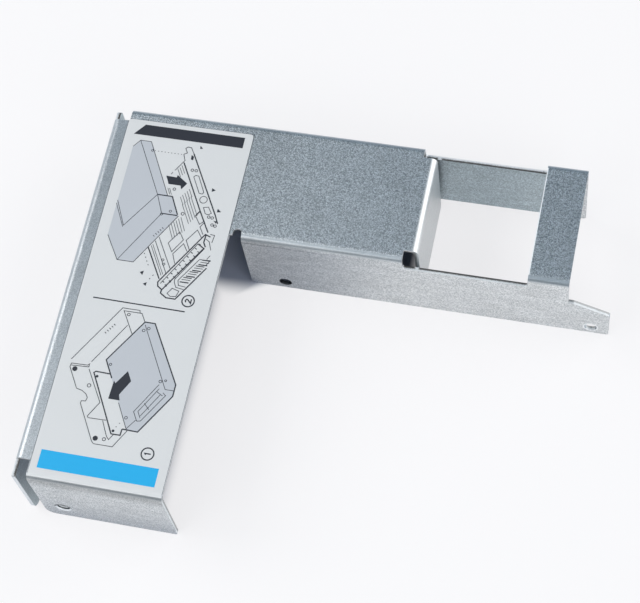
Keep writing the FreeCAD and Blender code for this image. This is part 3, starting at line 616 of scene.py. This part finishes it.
# Painted light: the flanges' streak tones sit above 1, so the flanges come out lighter than the top.
STREAK_DARK_AND_PAINTED_LIGHT = (1.045, 1.015, 0.985, 1)
STREAK_LIGHT_AND_PAINTED_LIGHT = (1.255, 1.215, 1.185, 1)
# The even, lighter colour of the painted light on the folded wall.
WALL_LIGHT_COLOUR = (0.96, 0.945, 0.93, 1)
PRESSED = (0.80, 0.81, 0.82, 1)
TORN = (0.12, 0.115, 0.11, 1)
TORN_LIGHT = (0.42, 0.42, 0.42, 1)
# Dark of the painted shadow at the label's edge and of the die line.
SHADOW_AND_LINE_DARK = (0.10, 0.11, 0.13, 1)
# Bright for bare cut crests, and for painted highlights at the holes and along the strap.
BARE_METAL_AND_HIGHLIGHT = (0.97, 0.98, 0.99, 1)
# Dark for painted shade at the holes.
HOLE_SHADE = (0.09, 0.095, 0.105, 1)
# How dark the painted shade below the end fold is.
UNDER_FOLD_SHADE = 0.70
CLOUD_DARK = 0.92
CLOUD_LIGHT = 1.05
# The painted shade on the top grows over this span of X.
TOP_SHADE_SPAN = (50.0, STRAP_END)
TEAR_DEPTH = (0.62, 0.85)
RAGGEDNESS = 0.5


def coat_colour(tree, speckle, coat, sheet, lit_wall):
    """The zinc: grains, clouds and streaks, with painted light and shade on some faces."""
    x = drawing_place(tree)[0]
    base = blend(tree, speckle, GRAIN_DARK, GRAIN_LIGHT)
    # Painted shade below the end fold.
    base = blend(tree, under_fold_shade(tree), base, grey(UNDER_FOLD_SHADE), "MULTIPLY")
    # Painted shade on the inner faces.
    base = blend(tree, sheet["Inner_shade"], base, INNER_SHADE, "MULTIPLY")
    flat = blend(tree, coat["Cloud"], grey(CLOUD_DARK), grey(CLOUD_LIGHT))
    # Painted shade that darkens the top toward the strap.
    flat = blend(tree, stretch(tree, x, *TOP_SHADE_SPAN), flat, STRAP_END_SHADE, "MULTIPLY")
    # Streaks on the flanges, with painted light lifting them above the top.
    upright = blend(tree, coat["Streak"], STREAK_DARK_AND_PAINTED_LIGHT, STREAK_LIGHT_AND_PAINTED_LIGHT)
    tone = blend(tree, sheet["Upright"], flat, upright)
    # Painted light on the folded wall replaces much of the coat's tone.
    return blend(tree, lit_wall, blend(tree, 1.0, base, tone, "MULTIPLY"), WALL_LIGHT_COLOUR)


def torn_share(tree, coat, edge):
    """0 where the punch pressed a cut face, and 1 where the sheet tore."""
    ragged = maths(tree, "ADD", edge["Depth"], maths(tree, "MULTIPLY", coat["Height"], RAGGEDNESS))
    return stretch(tree, ragged, *TEAR_DEPTH)


def steel_colour(tree, coat_tone, torn, edge, sheet):
    """The coat with its cut faces, die line, painted shadow at the label, bright crests, and painted
    highlights and shade at the holes and strap laid over it.
    """
    cut = blend(tree, torn, PRESSED, blend(tree, edge["Sill"], TORN_LIGHT, TORN))
    colour = blend(tree, edge["Mask"], coat_tone, cut)
    # Painted shadow along the label's edge.
    colour = blend(tree, label_edge_shadow(tree), colour, SHADOW_AND_LINE_DARK)
    colour = blend(tree, die_line(tree), colour, SHADOW_AND_LINE_DARK)
    # Bright crests and painted highlights at the holes, and the painted glint along the strap.
    colour = blend(tree, either(tree, sheet["Hole_crests_and_highlight"], sheet["Strap_glint"]), colour, BARE_METAL_AND_HIGHLIGHT)
    # Painted shade at the holes.
    return blend(tree, sheet["Hole_shade"], colour, HOLE_SHADE)


print("grain greys from", GRAIN_DARK[:3], "to", GRAIN_LIGHT[:3])

# %% [markdown]
# Steel
#
# The finish is one metallic Principled shader. The speckle changes its roughness a little as well as its
# colour, and a weak Bump gives each grain its own tilt, less so where the coat is calm. The painted glint
# along the strap's edge and a pressed cut are made less metallic than the coat, so they scatter light
# more than a mirror does.

# %% Steel material
GRAIN = 0.21
CLOUD_SIZE = 14.0
GRAIN_MIDDLE = (0.30, 0.66)
UPRIGHT_CALM = 0.35
FOLD_CALM = 0.85
CALM_SHARE = 0.5
COAT_ROUGHNESS = (0.42, 0.3)
CUT_ROUGHNESS = 0.15
RELIEF_STRENGTH = 0.8
RELIEF_DEPTH = 0.025 * MM
COAT_METAL = 0.96
STRAP_GLINT_DULLNESS = 0.8
PRESSED_DULLNESS = 0.55


def make_steel():
    """Zinc-coated sheet with raw cut faces."""
    material, tree = new_material("zinc_coated_steel")
    coat = use_group(tree, speckle_group, {"Grain": GRAIN, "Cloud size": CLOUD_SIZE})
    edge = use_group(tree, raw_edge_group)
    sheet = use_group(tree, sheet_facing_group)
    lit_wall = wall_painted_light(tree)
    torn = torn_share(tree, coat, edge)
    calm = either(tree, both(tree, sheet["Upright"], UPRIGHT_CALM), both(tree, sheet["Fold"], FOLD_CALM))
    softened = maths(tree, "MULTIPLY", calm, CALM_SHARE)
    speckle = stretch(tree, coat["Speckle"], *GRAIN_MIDDLE, softened, without(tree, softened))
    colour = steel_colour(tree, coat_colour(tree, speckle, coat, sheet, lit_wall), torn, edge, sheet)
    rough = maths(tree, "ADD", stretch(tree, speckle, 0.0, 1.0, *COAT_ROUGHNESS),
                  maths(tree, "MULTIPLY", edge["Mask"], CUT_ROUGHNESS))
    # No relief where the coat is calm, and none on the wall with painted light.
    tilt = maths(tree, "MULTIPLY", without(tree, either(tree, calm, lit_wall)), coat["Height"])
    relief = node(tree, "ShaderNodeBump", {
        "Strength": RELIEF_STRENGTH, "Distance": RELIEF_DEPTH, "Height": tilt})
    pressed = both(tree, edge["Mask"], without(tree, torn), PRESSED_DULLNESS)
    dull = either(tree, both(tree, sheet["Strap_glint"], STRAP_GLINT_DULLNESS), pressed)
    surface(tree, node(tree, "ShaderNodeBsdfPrincipled", {
        "Base Color": colour, "Roughness": rough, "Metallic": maths(tree, "SUBTRACT", COAT_METAL, dull),
        "Normal": relief.outputs["Normal"]}))
    return material


steel = make_steel()
print("steel material:", len(steel.node_tree.nodes), "nodes")

# %% [markdown]
# Paper and ink
#
# The label is smooth coated paper under a thin film, so it has a soft sheen. The inks are printed on it
# and share its gloss, and the print is a little uneven. One even colour would look like plastic, and a
# picture of the print isn't needed, because the CAD model holds each ink as a solid of its own. So one
# function makes all four finishes: an almost even colour, mottled by the speckle group, under a coat.

# %% Paper and ink materials
PRINT_GRAIN = 0.3
PRINT_CLOUD_SIZE = 20.0
MOTTLE_SHARES = (0.4, 0.6)
PRINT_RELIEF_STRENGTH = 0.05
PRINT_RELIEF_DEPTH = 0.01 * MM
FILM_ROUGHNESS = 0.25


def varied(colour, factor):
    """A colour made darker or lighter, and held below white."""
    return [min(part * factor, 1) for part in colour] + [1]


def make_print_finish(name, colour, unevenness, roughness, film):
    """Coated paper or an ink on it: an almost even colour with soft mottling."""
    material, tree = new_material(name)
    mottle = use_group(tree, speckle_group, {"Grain": PRINT_GRAIN, "Cloud size": PRINT_CLOUD_SIZE})
    tone = weighted(tree, (mottle["Speckle"], mottle["Cloud"]), MOTTLE_SHARES)
    relief = node(tree, "ShaderNodeBump", {
        "Strength": PRINT_RELIEF_STRENGTH, "Distance": PRINT_RELIEF_DEPTH, "Height": mottle["Height"]})
    surface(tree, node(tree, "ShaderNodeBsdfPrincipled", {
        "Base Color": blend(tree, tone, varied(colour, 1 - unevenness), varied(colour, 1 + unevenness)),
        "Roughness": roughness, "Coat Weight": film, "Coat Roughness": FILM_ROUGHNESS,
        "Normal": relief.outputs["Normal"]}))
    return material


paper = make_print_finish("coated_paper", (0.722, 0.715, 0.711), unevenness=0.012, roughness=0.45, film=0.3)
black_ink = make_print_finish("black_ink", (0.018, 0.02, 0.03), unevenness=0.06, roughness=0.5, film=0.2)
blue_ink = make_print_finish("blue_ink", (0.004, 0.42, 0.80), unevenness=0.02, roughness=0.5, film=0.3)
grey_ink = make_print_finish("grey_ink", (0.54, 0.552, 0.585), unevenness=0.02, roughness=0.45, film=0.3)
print("print finishes:", [finish.name for finish in (paper, black_ink, blue_ink, grey_ink)])

# %% [markdown]
# Finishes onto the CAD meshes
#
# The bracket, the label and the three inks are CAD nodes whose shapes are already right. They could be
# rebuilt as Blender meshes, but a copy is never as exact as the original. So each one keeps its own
# mesh, and only the material in its first slot changes.

# %% Finishes onto the CAD meshes
FINISHES = {"bracket": steel, "label": paper, "label_print_black": black_ink,
            "label_print_blue": blue_ink, "label_print_grey": grey_ink}
for name, finish in FINISHES.items():
    nodes[name].data.materials[0] = finish
    print(name, "->", finish.name)

# %% [markdown]
# Threads
#
# A tap cuts a helical groove into the wall of each drawn hole. The CAD holes are plain bores, because a
# fine thread would only weigh that model down. A bump could suggest the thread, but it would vanish in
# the meshes that are kept. So a ridge is swept along a helix by Geometry Nodes, which need only four
# sizes and can be used for any tapped hole.

# %% Thread tree
THREAD_PITCH = 0.5
THREAD_RIDGE = 0.2
COLLAR = 1.2
THREAD_START = 0.38
THREAD_SHORT = 0.75
THREAD_LENGTH = GAUGE + COLLAR - THREAD_SHORT
TURN_STEPS = 22
RIDGE_SIDES = 4
THREAD_SIZES = {"Radius": BAY_HOLE_RADIUS * MM, "Pitch": THREAD_PITCH * MM, "Length": THREAD_LENGTH * MM,
                "Ridge": THREAD_RIDGE * MM}


def thread_inputs(tree):
    """The tree's named inputs, as a table from each name to its socket's identifier."""
    identifiers = {}
    for label, size in THREAD_SIZES.items():
        socket = tree.interface.new_socket(label, in_out="INPUT", socket_type="NodeSocketFloat")
        socket.default_value = size
        identifiers[label] = socket.identifier
    finish = tree.interface.new_socket("Finish", in_out="INPUT", socket_type="NodeSocketMaterial")
    identifiers["Finish"] = finish.identifier
    return identifiers


def make_thread_tree():
    """A ridge along a helix, with its radius, pitch, length, ridge and finish as inputs."""
    tree = bpy.data.node_groups.new("tapped thread", "GeometryNodeTree")
    identifiers = thread_inputs(tree)
    tree.interface.new_socket("Geometry", in_out="OUTPUT", socket_type="NodeSocketGeometry")
    entry = tree.nodes.new("NodeGroupInput").outputs
    out = tree.nodes.new("NodeGroupOutput")
    helix = node(tree, "GeometryNodeCurveSpiral", {
        "Resolution": TURN_STEPS, "Rotations": maths(tree, "DIVIDE", entry["Length"], entry["Pitch"]),
        "Start Radius": entry["Radius"], "End Radius": entry["Radius"], "Height": entry["Length"]})
    ridge = node(tree, "GeometryNodeCurvePrimitiveCircle", {
        "Resolution": RIDGE_SIDES, "Radius": entry["Ridge"]}, mode="RADIUS")
    swept = node(tree, "GeometryNodeCurveToMesh", {
        "Curve": helix.outputs[0], "Profile Curve": ridge.outputs[0], "Fill Caps": True})
    real = node(tree, "GeometryNodeRealizeInstances", {0: swept.outputs[0]})
    finished = node(tree, "GeometryNodeSetMaterial", {
        "Geometry": real.outputs[0], "Material": entry["Finish"]})
    tree.links.new(finished.outputs[0], out.inputs[0])
    return tree, identifiers


thread_tree, thread_sockets = make_thread_tree()
print("thread tree:", len(thread_tree.nodes), "nodes;", round(THREAD_LENGTH, 2), "mm of thread a hole")

# %% [markdown]
# The three real threads are cut into one sheet, so they are one piece here. A new helix rises along Z
# from the origin. It could be placed by turning its object, but a pattern on Object coordinates would
# turn with it. So each copy is evaluated and made a plain mesh, and the mesh itself is laid along the
# hole's axis and moved into the hole. Then all three are joined.

# %% Threads in their holes
SAME_POINT = 1e-7
TAPPED_HOLES = [(BAY_HOLES_X[0], 0.0, 1), (BAY_HOLES_X[0], BACK_FACE, -1), (BAY_HOLES_X[1], BACK_FACE, -1)]


def baked(tree, identifiers, values):
    """The mesh that a Geometry Nodes tree makes from the given inputs."""
    carrier = bpy.data.objects.new("carrier", bpy.data.meshes.new("carrier"))
    bpy.context.scene.collection.objects.link(carrier)
    modifier = carrier.modifiers.new("made", "NODES")
    modifier.node_group = tree
    for label, value in values.items():
        modifier[identifiers[label]] = value
    mesh = bpy.data.meshes.new_from_object(carrier.evaluated_get(bpy.context.evaluated_depsgraph_get()))
    bpy.data.objects.remove(carrier)
    return mesh


def make_threads():
    """One mesh with a helix in each tapped hole."""
    joined = bmesh.new()
    for x, face, inward in TAPPED_HOLES:
        mesh = baked(thread_tree, thread_sockets, {**THREAD_SIZES, "Finish": steel})
        lay = Matrix.Rotation(math.radians(-90 * inward), 4, "X")
        start = spot(x, face + inward * THREAD_START, BAY_HOLE_HEIGHT)
        mesh.transform(Matrix.Translation(start) @ lay)
        joined.from_mesh(mesh)
        bpy.data.meshes.remove(mesh)
    bmesh.ops.remove_doubles(joined, verts=joined.verts, dist=SAME_POINT)
    bmesh.ops.recalc_face_normals(joined, faces=joined.faces)
    final = bpy.data.meshes.new("bay_threads")
    joined.to_mesh(final)
    joined.free()
    final.materials.append(steel)
    return final


threads = bpy.data.objects.new("bay_threads", make_threads())
bpy.context.scene.collection.objects.link(threads)
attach(threads, "root")
print("threads:", len(threads.data.polygons), "faces in", len(TAPPED_HOLES), "holes")

# %% [markdown]
# Shade on the floor
#
# On a white table most of the part's shade lies under its arms. The lamps alone leave it too light,
# because the floor here is partly self-lit, to look white. So the shade is worked out in the floor's
# material, from boxes under the label arm, the drive arm and the strap, and one more that leans into
# the inner corner. A distance above zero is outside a box, and the shade begins a few millimetres
# inside it. Just behind the front flange the floor is in full shade.

# %% Shade under the arms
LABEL_ARM = (0.0, 36.7, 0.0, BACK_FACE)
DRIVE_ARM = (0.0, 86.5, FRONT_FACE, BACK_FACE)
STRAP = (STRAP_SIDE, STRAP_END, FRONT_FACE, BACK_FACE)
INNER_CORNER = (20.0, 48.6, 60.5, BACK_FACE)
CORNER_LEAN = 2.0
BEHIND_FLANGE = (FRONT_FACE + 0.5, BACK_FACE - 12.0)
FLANGE_REACH = (41.0, 78.0)
SHADE_EDGE = (-9.0, -3.0)


def outside_box(tree, x, y, sides):
    """How far a place on the floor is outside a box, in millimetres, or inside it below zero."""
    left, right, front, back = sides
    return either(tree, maths(tree, "SUBTRACT", left, x), maths(tree, "SUBTRACT", x, right),
                  maths(tree, "SUBTRACT", front, y), maths(tree, "SUBTRACT", y, back))


def open_floor(tree, x, y):
    """1 on the open floor and 0 well under the part."""
    to_flange = either(tree, maths(tree, "SUBTRACT", FRONT_FACE, y), 0.0)
    leaning = maths(tree, "ADD", x, maths(tree, "MULTIPLY", to_flange, CORNER_LEAN))
    roofed = outside_box(tree, leaning, y, INNER_CORNER)
    for sides in (LABEL_ARM, DRIVE_ARM, STRAP):
        roofed = maths(tree, "MINIMUM", roofed, outside_box(tree, x, y, sides))
    behind = both(tree, between(tree, y, *BEHIND_FLANGE), between(tree, x, *FLANGE_REACH), SHADE_EDGE[0])
    return stretch(tree, maths(tree, "ADD", roofed, behind), *SHADE_EDGE, steps="SMOOTHSTEP")


print("shade begins", -SHADE_EDGE[1], "mm under an arm's edge")

# %% [markdown]
# Darker reflections
#
# The upright flanges mirror the floor in front of them. In the photograph they grow darker near the
# inner corner and at the foot of the end flange, where the table is in the part's own shade. A darker
# lamp would change the whole part, so only what a reflection sees of the floor is made darker there.

# %% Floor as a reflection sees it
CORNER_X = (46.0, 80.0)
CORNER_Y = (25.0, 50.0)
CORNER_SHADE = 0.36
FRONT_SHADE = 0.45
FRONT_REACH = (-8.0, 0.0)


def mirrored_tone(tree, x, y, glossy):
    """1 on the plain floor, and less where a reflection sees the inner corner or the end's foot."""
    arm_side = LABEL_ARM[1]
    corner = both(tree, stretch(tree, y, *CORNER_Y), above(tree, x, arm_side), glossy)
    corner_tone = stretch(tree, x, *CORNER_X, CORNER_SHADE, 1.0, steps="SMOOTHSTEP")
    front = both(tree, below(tree, y, 0.0), below(tree, x, arm_side), glossy)
    front_tone = stretch(tree, y, *FRONT_REACH, 1.0, FRONT_SHADE)
    return maths(tree, "MULTIPLY", stretch(tree, corner, 0.0, 1.0, 1.0, corner_tone),
                 stretch(tree, front, 0.0, 1.0, 1.0, front_tone))


print("reflections darken for", CORNER_X, "in X and", CORNER_Y, "in Y")

# %% [markdown]
# Floor
#
# The photograph's table is white and runs out of view. A floor of white paint under these lamps renders
# grey, and stronger lamps would burn the steel. So a share of the floor is light of its own, chosen by
# Light Path: most for the camera, some for a reflection, and none for the light that the floor sends
# to the part.

# %% Floor
FLOOR_WHITE = (0.985, 0.97, 0.98, 1)
FLOOR_PALE = (0.92, 0.92, 0.925, 1)
FLOOR_SHADE = (0.38, 0.40, 0.49, 1)
CORNER_TINT = (0.0, 0.09, 0.22, 1)
SEEN_SHARE = 0.72
MIRRORED_SHARE = 0.3
FLOOR_REACH = 3.0
FLOOR_CELLS = 8


def make_floor_finish():
    """Pale paint mixed with light of its own, and shaded under the part."""
    material, tree = new_material("pale_floor")
    ray = node(tree, "ShaderNodeLightPath").outputs
    x, y, _ = drawing_place(tree)
    lit = open_floor(tree, x, y)
    seen = both(tree, either(tree, ray["Is Camera Ray"], ray["Is Transmission Ray"]), SEEN_SHARE)
    share = both(tree, either(tree, seen, both(tree, ray["Is Glossy Ray"], MIRRORED_SHARE)), lit)
    pale = blend(tree, mirrored_tone(tree, x, y, ray["Is Glossy Ray"]), CORNER_TINT, FLOOR_PALE)
    paint = node(tree, "ShaderNodeBsdfDiffuse", {"Color": blend(tree, lit, FLOOR_SHADE, pale)})
    white = node(tree, "ShaderNodeEmission", {"Color": FLOOR_WHITE, "Strength": 1.0})
    surface(tree, node(tree, "ShaderNodeMixShader", {0: share, 1: paint.outputs[0], 2: white.outputs[0]}))
    return material


def make_floor():
    """A flat floor under the part, which isn't a piece of it."""
    mesh = bpy.data.meshes.new("floor")
    shape = bmesh.new()
    bmesh.ops.create_grid(shape, x_segments=FLOOR_CELLS, y_segments=FLOOR_CELLS, size=FLOOR_REACH)
    shape.to_mesh(mesh)
    shape.free()
    mesh.materials.append(make_floor_finish())
    made = bpy.data.objects.new("floor", mesh)
    bpy.context.scene.collection.objects.link(made)
    return made


floor = make_floor()
print("floor:", len(floor.data.polygons), "faces, made of", floor.active_material.name)

# %% [markdown]
# Lamps
#
# The photograph's light is large and soft, from several sides, with no hard shadow. One sun would draw
# hard edges, so there are five square area lamps: two at the sides, one overhead and two fills on the
# camera's side. Each is a place in metres, a side length in metres and a power in watts.

# %% Lamps
LAMPS = {
    "left_softbox": ((-0.95, 0.1, 0.85), 0.8, 6.0),
    "top_softbox": ((-0.15, -0.05, 1.35), 0.45, 0.9),
    "right_softbox": ((1.0, 0.55, 0.5), 1.3, 8.0),
    "front_right_fill": ((0.8, -0.85, 0.8), 0.9, 5.5),
    "front_left_fill": ((-0.7, -0.9, 0.8), 0.9, 4.5),
}
LAMP_COLOUR = (1.0, 0.965, 0.93)


def make_lamp(name, place, size, power):
    """A square soft light, turned to the part."""
    data = bpy.data.lights.new(name, "AREA")
    data.size = size
    data.energy = power
    data.color = LAMP_COLOUR
    lamp = bpy.data.objects.new(name, data)
    bpy.context.scene.collection.objects.link(lamp)
    aim = (-Vector(place)).to_track_quat("-Z", "Y")
    lamp.matrix_world = Matrix.Translation(place) @ aim.to_matrix().to_4x4()
    return lamp


for name, (place, size, power) in LAMPS.items():
    make_lamp(name, place, size, power)
print("lamps:", sorted(LAMPS))

# %% [markdown]
# World
#
# Steel looks like what it mirrors, and here that is mostly the room. A photographed room would need an
# image, so the world is a plain pale blue light instead, in which two sides are dimmer: high up behind
# the part, which the flat top mirrors, and low down in front of it, which the folds mirror. To the
# camera itself the world is plain white.

# %% World
WORLD_LIGHT = (0.64, 0.835, 1.0, 1)
DARK_SIDE = (-0.1, 0.5, 0.86)
DARK_SIDE_RANGE = (0.2, 0.85)
WORLD_STRENGTHS = (0.56, 0.35)
FRONT_SIDE = (-0.2, -0.93, 0.31)
FRONT_SIDE_RANGE = (0.86, 0.97)
FRONT_SIDE_SHARE = 0.3


def toward(tree, way, side):
    """How nearly a direction points to a side, up to 1."""
    return node(tree, "ShaderNodeVectorMath", {0: way, 1: side}, operation="DOT_PRODUCT").outputs["Value"]


def make_world():
    """Soft light from all round, white where the camera sees it."""
    world = bpy.data.worlds.new("white_room")
    bpy.context.scene.world = world
    world.use_nodes = True
    tree = world.node_tree
    tree.nodes.clear()
    ray = node(tree, "ShaderNodeLightPath").outputs
    way = node(tree, "ShaderNodeTexCoord").outputs["Generated"]
    strength = both(
        tree,
        stretch(tree, toward(tree, way, DARK_SIDE), *DARK_SIDE_RANGE, *WORLD_STRENGTHS, steps="SMOOTHSTEP"),
        stretch(tree, toward(tree, way, FRONT_SIDE), *FRONT_SIDE_RANGE, 1.0, FRONT_SIDE_SHARE))
    light = node(tree, "ShaderNodeBackground", {"Color": WORLD_LIGHT, "Strength": strength})
    white = node(tree, "ShaderNodeBackground", {"Color": grey(1.0), "Strength": 1.0})
    seen = either(tree, ray["Is Camera Ray"], ray["Is Transmission Ray"])
    mixed = node(tree, "ShaderNodeMixShader", {0: seen, 1: light.outputs[0], 2: white.outputs[0]})
    surface(tree, mixed, end="ShaderNodeOutputWorld")
    return world


room = make_world()
bpy.context.scene.view_settings.view_transform = "Standard"
print("world:", room.name, "with", len(room.node_tree.nodes), "nodes")
